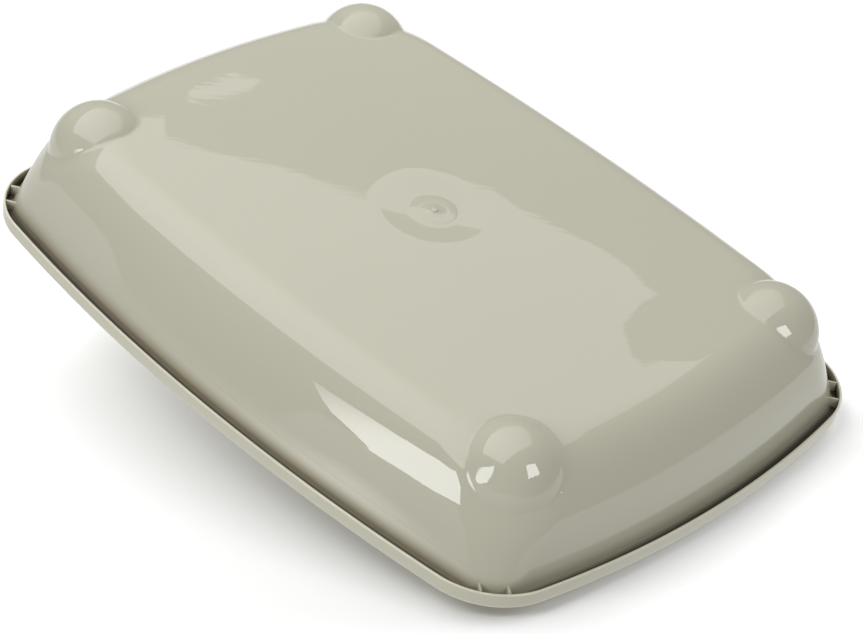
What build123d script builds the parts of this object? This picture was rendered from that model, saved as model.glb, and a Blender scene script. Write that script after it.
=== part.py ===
from build123d import *
import math
import os

# Litter tray, standing on its four domed feet on the plane z = 0.
# X runs along the tray, Y across it and Z up. The origin is under its middle.
# All sizes are in millimetres.

# Overall
length = 500.0
width = 374.0
rim_top = 83.2

# Plan of the rim: two bowed ends, two bowed sides and round corners
end_bow_radius = 700.0
side_bow_radius = 1360.0
rim_corner_radius = 52.5

# Rim section
skirt_depth = 10.8
skirt_thickness = 1.6
flange_thickness = 2.0
rim_outer_round = 3.0
rim_inner_round = 1.2
skirt_edge_round = 0.4
lip_thickness = 1.8
lip_depth = 5.0
lip_gap = 0.5

# Pan section. Each wall rises from the floor in a curve that opens from
# floor_radius to wall_radius, and then runs straight at wall_angle.
pan_wall = 2.2
floor_height = 8.8
end_channel = 10.2
side_channel = 10.7
end_curve = {"floor_radius": 27.0, "wall_radius": 62.5, "wall_angle": 82.0}
side_curve = {"floor_radius": 16.0, "wall_radius": 62.0, "wall_angle": 70.0}

# Plan of the pan: its corners open and its bows change towards the floor
pan_corner_at_skirt = 31.0
pan_corner_at_floor = 69.0
end_bow_at_floor = 1.15
side_bow_at_floor = 0.57

# Pan lip, the ledge under the rim
ledge_thickness = 2.0
ledge_gap = 0.4

# Feet
foot_radius = 32.0
foot_flat_radius = 3.0
foot_x = 185.0
foot_y = 114.5

# Middle of the underside: a shallow dish, a low disc and the gate vestige
dish_radius = 34.0
dish_depth = 0.8
disc_radius = 14.5
disc_height = 0.4
gate_radius = 2.3
gate_height = 0.9

# Webs in the channel at each corner
web_thickness = 1.4
web_angle = 35.5
web_offset = 8.2
web_line_x = 224.4
web_line_y = 156.3
web_length = 40.0
web_recess = 0.2

# Sections through the pan between its floor and its top
section_count = 13

# How far a cutting solid runs past the face that it cuts
overrun = 1.0

# Halvings of the tilt in the search for a height on a curved wall
search_steps = 40

skirt_edge = rim_top - skirt_depth
pan_top = rim_top - flange_thickness
foot_drop = foot_radius - math.sqrt(foot_radius**2 - foot_flat_radius**2)
foot_centre = foot_radius - foot_drop
lip_bottom = pan_top - lip_depth


def barrel(half_x, half_y, end_radius, side_radius, corner_radius):
    """Plan outline: bowed ends and sides joined by tangent corner arcs."""
    side_centre = Vector(0, half_y - side_radius)
    end_centre = Vector(half_x - end_radius, 0)
    between = end_centre - side_centre
    span = between.length
    along = (
        (side_radius - corner_radius) ** 2 - (end_radius - corner_radius) ** 2 + span**2
    ) / (2 * span)
    across = math.sqrt((side_radius - corner_radius) ** 2 - along**2)
    unit = between.normalized()
    normal = Vector(unit.Y, -unit.X)
    corner = side_centre + unit * along + normal * across
    from_side = (corner - side_centre).normalized()
    from_end = (corner - end_centre).normalized()
    outwards = (from_side + from_end).normalized()
    side_end = corner + from_side * corner_radius
    corner_middle = corner + outwards * corner_radius
    end_start = corner + from_end * corner_radius

    def at(point, sx, sy):
        return (sx * point.X, sy * point.Y)

    edges = [
        ThreePointArc(at(side_end, -1, 1), (0, half_y), at(side_end, 1, 1)),
        ThreePointArc(at(side_end, 1, 1), at(corner_middle, 1, 1), at(end_start, 1, 1)),
        ThreePointArc(at(end_start, 1, 1), (half_x, 0), at(end_start, 1, -1)),
        ThreePointArc(at(end_start, 1, -1), at(corner_middle, 1, -1), at(side_end, 1, -1)),
        ThreePointArc(at(side_end, 1, -1), (0, -half_y), at(side_end, -1, -1)),
        ThreePointArc(at(side_end, -1, -1), at(corner_middle, -1, -1), at(end_start, -1, -1)),
        ThreePointArc(at(end_start, -1, -1), (-half_x, 0), at(end_start, -1, 1)),
        ThreePointArc(at(end_start, -1, 1), at(corner_middle, -1, 1), at(side_end, -1, 1)),
    ]
    return Face(Wire(edges))


def rim_plan(inset):
    """Rim outline moved inwards, at z = 0."""
    return barrel(
        length / 2 - inset,
        width / 2 - inset,
        end_bow_radius - inset,
        side_bow_radius - inset,
        rim_corner_radius - inset,
    )


def curve_point(tilt, floor_radius, wall_radius, wall_angle):
    """Run and rise from the edge of the flat floor to where the wall tilts by tilt."""
    growth = (wall_radius - floor_radius) / math.radians(wall_angle)
    run = floor_radius * math.sin(tilt)
    run += growth * (tilt * math.sin(tilt) + math.cos(tilt) - 1)
    rise = floor_radius * (1 - math.cos(tilt))
    rise += growth * (math.sin(tilt) - tilt * math.cos(tilt))
    return run, rise


def half_size(height, half_at_skirt, curve, inset):
    """Half size at a height of the skin that lies inset inside the pan's outer skin."""
    steepest = math.radians(curve["wall_angle"])
    full_run, full_rise = curve_point(steepest, **curve)
    wall_run = (skirt_edge - floor_height - full_rise) / math.tan(steepest)
    flat_half = half_at_skirt - wall_run - full_run
    knee_height = floor_height + full_rise + inset * math.cos(steepest)
    if height >= knee_height:
        knee_half = flat_half + full_run - inset * math.sin(steepest)
        return knee_half + (height - knee_height) / math.tan(steepest)
    low, high = 0.0, steepest
    for _ in range(search_steps):
        tilt = (low + high) / 2
        run, rise = curve_point(tilt, **curve)
        if floor_height + rise + inset * math.cos(tilt) < height:
            low = tilt
        else:
            high = tilt
    return flat_half + run - inset * math.sin(tilt)


def pan_plan(height, inset, gap=0.0):
    """Outline at a height of the skin that lies inset inside the pan's outer skin."""
    depth_share = (skirt_edge - height) / (skirt_edge - floor_height)
    end_bow = end_bow_radius / (1 + (end_bow_at_floor - 1) * depth_share)
    side_bow = side_bow_radius / (1 + (side_bow_at_floor - 1) * depth_share)
    corner = pan_corner_at_skirt
    corner += (pan_corner_at_floor - pan_corner_at_skirt) * depth_share
    half_x = half_size(height, length / 2 - end_channel, end_curve, inset)
    half_y = half_size(height, width / 2 - side_channel, side_curve, inset)
    moved = inset + gap
    return barrel(half_x - gap, half_y - gap, end_bow - moved, side_bow - moved, corner - moved)


def pan_skin(inset, top):
    """Closed solid inside one skin of the pan, from its floor to top."""
    bottom = floor_height + inset
    shares = [i / (section_count - 1) for i in range(section_count)]
    heights = [bottom + (top - bottom) * share**2 for share in shares]
    return loft([Pos(0, 0, height) * pan_plan(height, inset) for height in heights])


def prism(plan, bottom, top):
    """Straight solid on a plan, between two heights."""
    return Pos(0, 0, bottom) * extrude(plan, top - bottom, dir=(0, 0, 1))


def corners():
    """The four corners of the tray as pairs of signs."""
    return [(sx, sy) for sx in (-1, 1) for sy in (-1, 1)]


def foot_balls(radius):
    """Balls on the centres of the four feet."""
    return [Pos(sx * foot_x, sy * foot_y, foot_centre) * Sphere(radius) for sx, sy in corners()]


def corner_webs(cavity):
    """Two upright plates in the channel at each corner, from the wall to the skirt."""
    bottom = skirt_edge + web_recess
    top = pan_top - ledge_thickness / 2
    space = prism(rim_plan(skirt_thickness + ledge_gap), bottom, top) - cavity
    plate = Box(web_length, web_thickness, top - bottom)
    webs = []
    for sx, sy in corners():
        for side in (-1, 1):
            place = Pos(sx * web_line_x, sy * web_line_y, (bottom + top) / 2)
            turn = Rot(0, 0, sx * sy * web_angle)
            webs.append((place * turn * Pos(0, side * web_offset, 0) * plate) & space)
    return webs


def gate_detail():
    """Dish to cut, and disc and vestige to add, in the middle of the underside."""
    ball_radius = (dish_radius**2 + dish_depth**2) / (2 * dish_depth)
    dish_top = floor_height + dish_depth
    dish = Pos(0, 0, dish_top - ball_radius) * Sphere(ball_radius)
    dish &= prism(Circle(dish_radius + overrun), floor_height - overrun, dish_top + overrun)
    disc_bottom = dish_top - disc_height
    disc = prism(Circle(disc_radius), disc_bottom, floor_height + pan_wall / 2)
    vestige = prism(Circle(gate_radius), disc_bottom - gate_height, disc_bottom)
    return dish, disc + vestige


def make_pan():
    """Pan: one thin skin with hollow feet, a ledge round its top and corner webs."""
    cavity = pan_skin(pan_wall, pan_top + overrun)
    shell = pan_skin(0, pan_top)
    for ball in foot_balls(foot_radius):
        shell += ball
    shell += prism(rim_plan(skirt_thickness + ledge_gap), pan_top - ledge_thickness, pan_top)
    shell -= cavity
    for ball in foot_balls(foot_radius - pan_wall):
        shell -= ball
    for web in corner_webs(cavity):
        shell += web
    dish, disc = gate_detail()
    shell = shell - dish + disc
    return shell - prism(Rectangle(length, width), -foot_radius, 0)


def top_face(solid):
    """Highest face of a solid."""
    return solid.faces().sort_by(Axis.Z)[-1]


def make_rim():
    """Rim: flat flange, skirt round the outside and short lip round the mouth."""
    lip_outside = pan_plan(lip_bottom, pan_wall, lip_gap)
    mouth = pan_plan(lip_bottom, pan_wall, lip_gap + lip_thickness)
    rim = prism(rim_plan(0), skirt_edge, rim_top)
    rim -= prism(rim_plan(skirt_thickness), skirt_edge - overrun, pan_top)
    rim += prism(lip_outside, lip_bottom, rim_top)
    rim -= prism(mouth, lip_bottom - overrun, rim_top + overrun)
    rim = fillet(top_face(rim).outer_wire().edges(), rim_outer_round)
    rim = fillet(top_face(rim).inner_wires()[0].edges(), rim_inner_round)
    skirt_face = rim.faces().sort_by(Axis.Z)[0]
    return fillet(skirt_face.edges(), skirt_edge_round)


os.makedirs("parts", exist_ok=True)
for name, part in (("pan", make_pan()), ("rim", make_rim())):
    export_step(part, f"parts/{name}.step")
    print(name, "volume", round(part.volume), "solids", len(part.solids()))
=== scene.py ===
"""Litter tray of moulded plastic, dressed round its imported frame.

The photograph shows the tray's underside, so the main camera looks up from below.
Everything is in metres, in the frame's own axes: the tray stands on its feet at z = 0.
"""

from __future__ import annotations

import logging
import math
from collections.abc import Sequence
from dataclasses import dataclass, field
from enum import Enum

import bmesh
import bpy
import numpy as np
from mathutils import Matrix, Vector


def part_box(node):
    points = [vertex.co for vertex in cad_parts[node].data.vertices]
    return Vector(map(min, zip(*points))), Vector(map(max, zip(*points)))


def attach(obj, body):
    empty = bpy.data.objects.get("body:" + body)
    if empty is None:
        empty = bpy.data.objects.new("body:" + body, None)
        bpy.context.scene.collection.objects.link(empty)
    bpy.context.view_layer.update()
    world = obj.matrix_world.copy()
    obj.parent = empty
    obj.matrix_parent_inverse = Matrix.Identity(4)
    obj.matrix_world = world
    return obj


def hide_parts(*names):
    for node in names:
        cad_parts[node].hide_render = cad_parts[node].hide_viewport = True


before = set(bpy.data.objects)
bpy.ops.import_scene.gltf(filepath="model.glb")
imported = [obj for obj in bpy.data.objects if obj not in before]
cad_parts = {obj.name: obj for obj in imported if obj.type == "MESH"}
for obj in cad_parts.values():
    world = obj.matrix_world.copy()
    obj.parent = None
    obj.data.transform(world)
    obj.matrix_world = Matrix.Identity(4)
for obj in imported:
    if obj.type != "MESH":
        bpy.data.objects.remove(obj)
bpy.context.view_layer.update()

LOG = logging.getLogger("tray")
MM = 0.001

IMAGE_WIDTH = 863
SENSOR_WIDTH = 36.0
WHITE = (1.0, 1.0, 1.0, 1.0)
TRAY_MIDDLE = (0.0, 0.0, 0.03)

Point =tuple[float, float, float]
Colour = tuple[float, float, float, float] | bpy.types.NodeSocket


class Body(Enum):
    """Bodies of the frame that pieces ride on."""

    PAN = "pan"
    RIM = "rim"


class Slot(Enum):
    """Material slots of the record."""

    PAN = "pan_plastic"
    RIM = "rim_plastic"


# Shader and geometry tree helpers


class Wire:
    """A number in a node tree. Arithmetic on it adds Math nodes."""

    def __init__(self, tree: bpy.types.NodeTree, socket: bpy.types.NodeSocket) -> None:
        """Hold a tree and the socket that the number comes from."""
        self.tree = tree
        self.socket = socket

    def math(self, operation: str, *values: "Wire | float", clamp: bool = False) -> "Wire":
        """Add a Math node.

        Args:
            operation: The node's operation.
            values: Its inputs, in order.
            clamp: Whether the result is kept between 0 and 1.

        Returns:
            The node's result.
        """
        node = self.tree.nodes.new("ShaderNodeMath")
        node.operation = operation
        node.use_clamp = clamp
        for socket, value in zip(node.inputs, values):
            if isinstance(value, Wire):
                self.tree.links.new(value.socket, socket)
            else:
                socket.default_value = value
        return Wire(self.tree, node.outputs[0])

    def __add__(self, other: "Wire | float") -> "Wire":
        """Sum of both."""
        return self.math("ADD", self, other)

    def __radd__(self, other: float) -> "Wire":
        """Sum of both."""
        return self.math("ADD", other, self)

    def __sub__(self, other: "Wire | float") -> "Wire":
        """This less the other."""
        return self.math("SUBTRACT", self, other)

    def __rsub__(self, other: float) -> "Wire":
        """The other less this."""
        return self.math("SUBTRACT", other, self)

    def __mul__(self, other: "Wire | float") -> "Wire":
        """Product of both."""
        return self.math("MULTIPLY", self, other)

    def __rmul__(self, other: float) -> "Wire":
        """Product of both."""
        return self.math("MULTIPLY", other, self)

    def clamped(self) -> "Wire":
        """This kept between 0 and 1."""
        return self.math("ADD", self, 0.0, clamp=True)

    def step(self, low: float, high: float) -> "Wire":
        """Smooth step from 0 at low to 1 at high, or falling where low is the larger.

        Args:
            low: Value at which the step is 0.
            high: Value at which the step is 1.

        Returns:
            The step.
        """
        node = self.tree.nodes.new("ShaderNodeMapRange")
        node.interpolation_type = "SMOOTHSTEP"
        falling = low > high
        node.inputs["From Min"].default_value = min(low, high)
        node.inputs["From Max"].default_value = max(low, high)
        node.inputs["To Min"].default_value = 1.0 if falling else 0.0
        node.inputs["To Max"].default_value = 0.0 if falling else 1.0
        self.tree.links.new(self.socket, node.inputs["Value"])
        return Wire(self.tree, node.outputs["Result"])


class Painter:
    """Adds nodes to one node tree."""

    def __init__(self, tree: bpy.types.NodeTree) -> None:
        """Start on an emptied tree."""
        self.tree = tree
        tree.nodes.clear()

    def node(
        self,
        kind: str,
        settings: dict[str, object] | None = None,
        inputs: dict[str | int, object] | None = None,
    ) -> bpy.types.Node:
        """Add a node of any type.

        Args:
            kind: The node's type name.
            settings: Its properties, set before its sockets.
            inputs: Values or links of its sockets, by name or number.

        Returns:
            The new node.
        """
        made = self.tree.nodes.new(kind)
        for name, value in (settings or {}).items():
            setattr(made, name, value)
        for key, value in (inputs or {}).items():
            if isinstance(value, Wire):
                value = value.socket
            if isinstance(value, bpy.types.NodeSocket):
                self.tree.links.new(value, made.inputs[key])
            else:
                made.inputs[key].default_value = value
        return made

    def wire(self, node: bpy.types.Node, output: str | int = 0) -> Wire:
        """One output of a node as a Wire."""
        return Wire(self.tree, node.outputs[output])

    def object_point(self) -> bpy.types.NodeSocket:
        """Place on the piece, in metres."""
        return self.node("ShaderNodeTexCoord").outputs["Object"]

    def noise(
        self,
        point: bpy.types.NodeSocket,
        size: float,
        detail: float = 2.0,
        stretch: Point = (1, 1, 1),
        turn: float = 0.0,
    ) -> Wire:
        """Noise about 0.5.

        Args:
            point: Where the pattern is read.
            size: Size of its largest features, in metres.
            detail: How many finer layers it has.
            stretch: How much longer the features are along each axis.
            turn: How far those axes are turned about Z, in radians.

        Returns:
            The noise, from 0 to 1.
        """
        spread = self.node(
            "ShaderNodeMapping",
            {"vector_type": "TEXTURE"},
            {"Vector": point, "Rotation": (0, 0, turn), "Scale": [size * part for part in stretch]},
        )
        made = self.node(
            "ShaderNodeTexNoise",
            inputs={"Vector": spread.outputs[0], "Scale": 1.0, "Detail": detail, "Roughness": 0.5},
        )
        return self.wire(made, "Fac")

    def mix_colour(self, share: Wire, first: Colour, second: Colour) -> bpy.types.NodeSocket:
        """Colour between two, by a share."""
        node = self.node("ShaderNodeMix", {"data_type": "RGBA"}, {0: share, 6: first, 7: second})
        return node.outputs[2]

    def surface(self, shader: bpy.types.Node) -> None:
        """Send a shader to the material's output."""
        self.node("ShaderNodeOutputMaterial", inputs={"Surface": shader.outputs[0]})


def start_material(name: str) -> tuple[bpy.types.Material, Painter]:
    """New material with an emptied tree.

    Args:
        name: Name of the material.

    Returns:
        The material and the painter of its tree.
    """
    material = bpy.data.materials.new(name)
    material.use_nodes = True
    return material, Painter(material.node_tree)


def link_mesh(name: str, mesh: bpy.types.Mesh) -> bpy.types.Object:
    """New object of a mesh, at the origin and in the scene.

    Args:
        name: Name of the object.
        mesh: Its mesh.

    Returns:
        The object.
    """
    made = bpy.data.objects.new(name, mesh)
    bpy.context.scene.collection.objects.link(made)
    return made


# Finishes


@dataclass(frozen=True)
class MouldedPlastic:
    """Glossy polypropylene with the marks of its moulding, painted shade in the groove under the rim and a
    painted highlight along the skirt's edge.

    Attributes:
        name: Name of the material.
        colour: Mean colour, linear.
        shade: How far the clouded colour goes down and up from the mean.
        cloud_size: Size of its clouds, and speck_size that of its specks, in metres.
        cloud_share: Share of the clouds in the shading; the specks have the rest.
        roughness: Least roughness.
        roughness_spread: How much rougher the dull places and the scratches are.
        dull_size: Size of the dull places, and dull_share their share of the spread.
        scratch_size: Width of the scratches, and scratch_stretch their form.
        scratch_share: Share of the scratches in the spread.
        wave_height: Height of the slow waves of the surface, and wave_size their size, in metres.
        ripple_height: Height of the flow ripples, in metres.
        ripple_turn: Direction of the ripples, in radians.
        ripple_size: Size of the ripples, and ripple_stretch their form.
        patch_size: Size of the patches that have ripples, in metres.
        grain_height: Height of the fine grain, and grain_size its size, in metres.
        groove_shade_tint: Painted shade deep in the groove under the rim: the colour there, as a share of the
            mean colour.
        groove_shade_start: Where that painted shade starts, and groove_shade_end where it is full, as shares
            of its depth.
        mouth_shade_tint: Painted warm shade in the groove's mouth: the colour there, as a share of the mean
            colour.
        mouth_shade_start: Where that painted shade starts, and mouth_shade_end where it is full, as shares of
            its depth.
        blur_start: Where the wall starts to be duller towards the groove, as a share of its depth.
        blur: How much rougher the wall is at the groove's mouth.
        groove_roughness: How much rougher it is deep in the groove.
        edge_highlight_gain: How much paler the painted highlight along the skirt's edge is.
        edge_low: Height above the skirt's edge up to which it is palest, and edge_high where that ends.
        ior: Refractive index.
    """

    name: str
    colour: Point
    shade: float = 0.025
    cloud_size: float = 0.16
    speck_size: float = 2.5 * MM
    cloud_share: float = 0.8
    roughness: float = 0.018
    roughness_spread: float = 0.014
    dull_size: float = 0.05
    dull_share: float = 0.6
    scratch_size: float = 0.6 * MM
    scratch_stretch: Point = (60, 1.5, 8)
    scratch_share: float = 0.5
    wave_height: float = 0.065 * MM
    wave_size: float = 0.075
    ripple_height: float = 0.005 * MM
    ripple_turn: float = math.radians(135)
    ripple_size: float = 0.0035
    ripple_stretch: Point = (5, 1, 3)
    patch_size: float = 0.06
    grain_height: float = 0.00015 * MM
    grain_size: float = 0.9 * MM
    groove_shade_tint: Point = (0.07, 0.055, 0.04)
    groove_shade_start: float = 0.82
    groove_shade_end: float = 1.05
    mouth_shade_tint: Point = (0.62, 0.55, 0.46)
    mouth_shade_start: float = -0.6
    mouth_shade_end: float = 0.9
    blur_start: float = -3.2
    blur: float = 0.30
    groove_roughness: float = 0.4
    edge_highlight_gain: float = 1.0
    edge_low: float = 0.3 * MM
    edge_high: float = 0.7 * MM
    ior: float = 1.49

    def tone(self, share: float) -> Colour:
        """The mean colour times a share, as a node colour."""
        return self.tinted((share, share, share))

    def tinted(self, tint: Point) -> Colour:
        """The mean colour times a tint, as a node colour."""
        return (*[part * share for part, share in zip(self.colour, tint)], 1.0)

    def build(self, sizes: "TraySizes") -> bpy.types.Material:
        """Make the material.

        Args:
            sizes: Sizes of the tray, for the depth of the groove.

        Returns:
            The new material.
        """
        material, paint = start_material(self.name)
        point = paint.object_point()
        cloud = paint.noise(point, self.cloud_size, 3.0)
        speck = paint.noise(point, self.speck_size, 2.0)
        share = (cloud * self.cloud_share + speck * (1 - self.cloud_share)).clamped()
        open_colour = paint.mix_colour(share, self.tone(1 - self.shade), self.tone(1 + self.shade))
        # Painted shade: where the groove attribute marks a point, its colour turns warm grey in the mouth of
        # the groove under the rim and near black deep inside it, by height.
        facing = paint.wire(paint.node("ShaderNodeAttribute", {"attribute_name": "groove"}), "Fac")
        level = paint.wire(paint.node("ShaderNodeSeparateXYZ", inputs={0: point}), "Z")
        deep = level.step(sizes.groove_height(self.groove_shade_start), sizes.groove_height(self.groove_shade_end))
        near = level.step(sizes.groove_height(self.mouth_shade_start), sizes.groove_height(self.mouth_shade_end))
        groove = facing * deep
        blurred = facing * level.step(sizes.groove_height(self.blur_start), sizes.groove_height(0))
        mouth_shaded = paint.mix_colour(facing * near, open_colour, self.tinted(self.mouth_shade_tint))
        colour = paint.mix_colour(groove, mouth_shaded, self.tinted(self.groove_shade_tint))
        # Painted highlight: a paler band along the skirt's free edge, on faces outside the groove.
        if self.edge_highlight_gain > 1:
            edge_top, edge_full = sizes.skirt_edge + self.edge_high, sizes.skirt_edge + self.edge_low
            edge = level.step(edge_top, edge_full) * (1 - facing)
            colour = paint.mix_colour(edge, colour, self.tone(self.edge_highlight_gain))
        dull = paint.noise(point, self.dull_size, 4.0).step(0.45, 0.75)
        scratch = paint.noise(point, self.scratch_size, 1.0, self.scratch_stretch).step(0.68, 0.8)
        worn = self.roughness_spread * (dull * self.dull_share + scratch * self.scratch_share)
        rough = self.roughness + worn + blurred * self.blur + groove * self.groove_roughness
        wave = paint.noise(point, self.wave_size, 1.0) * (self.wave_height * 2)
        patch = paint.noise(point, self.patch_size, 1.0).step(0.45, 0.62)
        comb = paint.noise(point, self.ripple_size, 1.0, self.ripple_stretch, self.ripple_turn)
        ripple = comb * patch * (self.ripple_height * 2)
        grain = paint.noise(point, self.grain_size, 1.0) * (self.grain_height * 2)
        height = wave + ripple + grain
        bump = paint.node("ShaderNodeBump", inputs={"Strength": 1.0, "Distance": 1.0, "Height": height})
        shader = paint.node(
            "ShaderNodeBsdfPrincipled",
            inputs={
                "Base Color": colour,
                "Roughness": rough,
                "IOR": self.ior,
                "Normal": bump.outputs[0],
            },
        )
        paint.surface(shader)
        return material


@dataclass(frozen=True)
class StageSheet:
    """Pale sheet that shows to the camera from its front only, and fades out at its edge.

    Attributes:
        name: Name of the material.
        half: Half size of the sheet, in metres.
        inner: Distance from the middle at which the fade starts, as a share of the half size.
        outer: Distance at which it has faded out.
        albedo: Reflectance of the sheet.
        glow: Light added to what the camera sees of it.
    """

    name: str
    half: float
    inner: float
    outer: float
    albedo: float = 0.9
    glow: float = 0.12

    def build(self) -> bpy.types.Material:
        """Make the material.

        Returns:
            The new material.
        """
        material, paint = start_material(self.name)
        place = paint.node(
            "ShaderNodeMapping",
            inputs={"Vector": paint.object_point(), "Scale": (1 / self.half, 1 / self.half, 0)},
        )
        length = paint.node("ShaderNodeVectorMath", {"operation": "LENGTH"}, {0: place.outputs[0]})
        centred = paint.wire(length, "Value").step(self.outer, self.inner)
        camera = paint.wire(paint.node("ShaderNodeLightPath"), "Is Camera Ray")
        back = paint.wire(paint.node("ShaderNodeNewGeometry"), "Backfacing")
        shown = camera * (1 - back) * centred
        diffuse = paint.node("ShaderNodeBsdfDiffuse", inputs={"Color": (self.albedo,) * 3 + (1,)})
        glow = paint.node("ShaderNodeEmission", inputs={"Strength": self.glow})
        lit = paint.node("ShaderNodeAddShader", inputs={0: diffuse.outputs[0], 1: glow.outputs[0]})
        clear = paint.node("ShaderNodeBsdfTransparent")
        mixed = paint.node(
            "ShaderNodeMixShader", inputs={0: shown, 1: clear.outputs[0], 2: lit.outputs[0]}
        )
        paint.surface(mixed)
        return material


@dataclass(frozen=True)
class CardLight:
    """Glow of a studio card, which may be brighter at one end.

    Attributes:
        name: Name of the card.
        strength: Brightness of its far part, where 1 is white.
        near_strength: Brightness of its near part, or nothing if it is even.
        axis: The axis along which it changes.
        near: Where the near part begins.
        far: Where the far part begins.
    """

    name: str
    strength: float
    near_strength: float | None = None
    axis: str = "Y"
    near: float = -0.6
    far: float = 0.95

    def build(self) -> bpy.types.Material:
        """Make the material.

        Returns:
            The new material.
        """
        material, paint = start_material(self.name)
        glow = paint.node("ShaderNodeEmission", inputs={"Strength": self.strength})
        if self.near_strength is not None:
            place = paint.node("ShaderNodeSeparateXYZ", inputs={0: paint.object_point()})
            near = paint.wire(place, self.axis).step(self.far, self.near)
            far_tone = (*[self.strength / self.near_strength] * 3, 1.0)
            tone = paint.mix_colour(near, far_tone, WHITE)
            glow = paint.node("ShaderNodeEmission", inputs={"Color": tone, "Strength": self.near_strength})
        paint.surface(glow)
        return material


# Outlines and walls


@dataclass(frozen=True)
class Barrel:
    """Plan outline with bowed ends and sides and round corners, all arcs tangent.

    Each value may be a number or an array, so that one Barrel can stand for many heights.

    Attributes:
        half_x: Half its length.
        half_y: Half its width.
        end_radius: Radius of its ends.
        side_radius: Radius of its sides.
        corner_radius: Radius of its corners.
    """

    half_x: float | np.ndarray
    half_y: float | np.ndarray
    end_radius: float | np.ndarray
    side_radius: float | np.ndarray
    corner_radius: float | np.ndarray

    def corner(self) -> tuple[np.ndarray, np.ndarray, np.ndarray, np.ndarray]:
        """Centre of the corner arc and the angles at which it meets its neighbours.

        Returns:
            The centre's x and y, and the angles at the side and at the end.
        """
        side_y = self.half_y - self.side_radius
        end_x = self.half_x - self.end_radius
        span = np.hypot(end_x, side_y)
        side_reach = self.side_radius - self.corner_radius
        end_reach = self.end_radius - self.corner_radius
        along = (side_reach**2 - end_reach**2 + span**2) / (2 * span)
        across = np.sqrt(side_reach**2 - along**2)
        unit_x, unit_y = end_x / span, -side_y / span
        x = unit_x * along + unit_y * across
        y = side_y + unit_y * along - unit_x * across
        return x, y, np.arctan2(y - side_y, x), np.arctan2(y, x - end_x)

    def quarter(self, shares: "QuarterShares") -> np.ndarray:
        """Points of the first quadrant, from the middle of the side to the middle of the end.

        Args:
            shares: Where the points lie on each arc.

        Returns:
            Points, one a row.
        """
        x, y, at_side, at_end = self.corner()
        side = math.pi / 2 + (at_side - math.pi / 2) * shares.side
        turn = at_side + (at_end - at_side) * shares.corner
        end = at_end * (1 - shares.end)
        side_y = self.half_y - self.side_radius
        end_x = self.half_x - self.end_radius
        arcs = (
            (0.0, side_y, self.side_radius, side),
            (x, y, self.corner_radius, turn),
            (end_x, 0.0, self.end_radius, end),
        )
        return np.vstack([
            np.column_stack([cx + r * np.cos(a), cy + r * np.sin(a)]) for cx, cy, r, a in arcs
        ])

    def holds(self, x: np.ndarray, y: np.ndarray) -> np.ndarray:
        """Whether each point is inside.

        Args:
            x: Places along X, of either sign.
            y: Places along Y, of either sign.

        Returns:
            True where the point is inside.
        """
        x, y = np.abs(x), np.abs(y)
        corner_x, corner_y, at_side, at_end = self.corner()
        inside = np.hypot(x, y - self.half_y + self.side_radius) <= self.side_radius
        inside &= np.hypot(x - self.half_x + self.end_radius, y) <= self.end_radius
        angle = np.arctan2(y - corner_y, x - corner_x)
        in_corner = (angle < at_side) & (angle > at_end)
        past = np.hypot(x - corner_x, y - corner_y) > self.corner_radius
        return inside & ~(in_corner & past)


@dataclass(frozen=True)
class QuarterShares:
    """Where the columns of a quarter lie on its arcs, as shares.

    Attributes:
        side: Shares of half a side, from its middle.
        corner: Shares of a corner, from the side.
        end: Shares of half an end, from the corner.
    """

    side: np.ndarray
    corner: np.ndarray
    end: np.ndarray

    @classmethod
    def of(cls, side: int, corner: int, end: int, crowding: float = 1.5) -> "QuarterShares":
        """Columns that crowd towards the corner.

        Args:
            side: Number of columns on half a side.
            corner: Number of columns on a corner.
            end: Number of columns on half an end.
            crowding: How much they crowd.

        Returns:
            The shares.
        """
        side_shares = 1 - np.linspace(1, 0, side, endpoint=False) ** crowding
        corner_shares = np.linspace(0, 1, corner, endpoint=False)
        end_shares = np.linspace(0, 1, end + 1) ** crowding
        return cls(side_shares, corner_shares, end_shares)


def ring_of(quarter: np.ndarray) -> np.ndarray:
    """Closed ring from its first quadrant, clockwise as seen from above.

    Args:
        quarter: Points from the Y axis to the X axis.

    Returns:
        The points of the ring, one a row.
    """
    back = quarter[::-1]
    return np.vstack([
        quarter[:-1],
        (back * (1, -1))[:-1],
        (quarter * (-1, -1))[:-1],
        (back * (-1, 1))[:-1],
    ])


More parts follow.
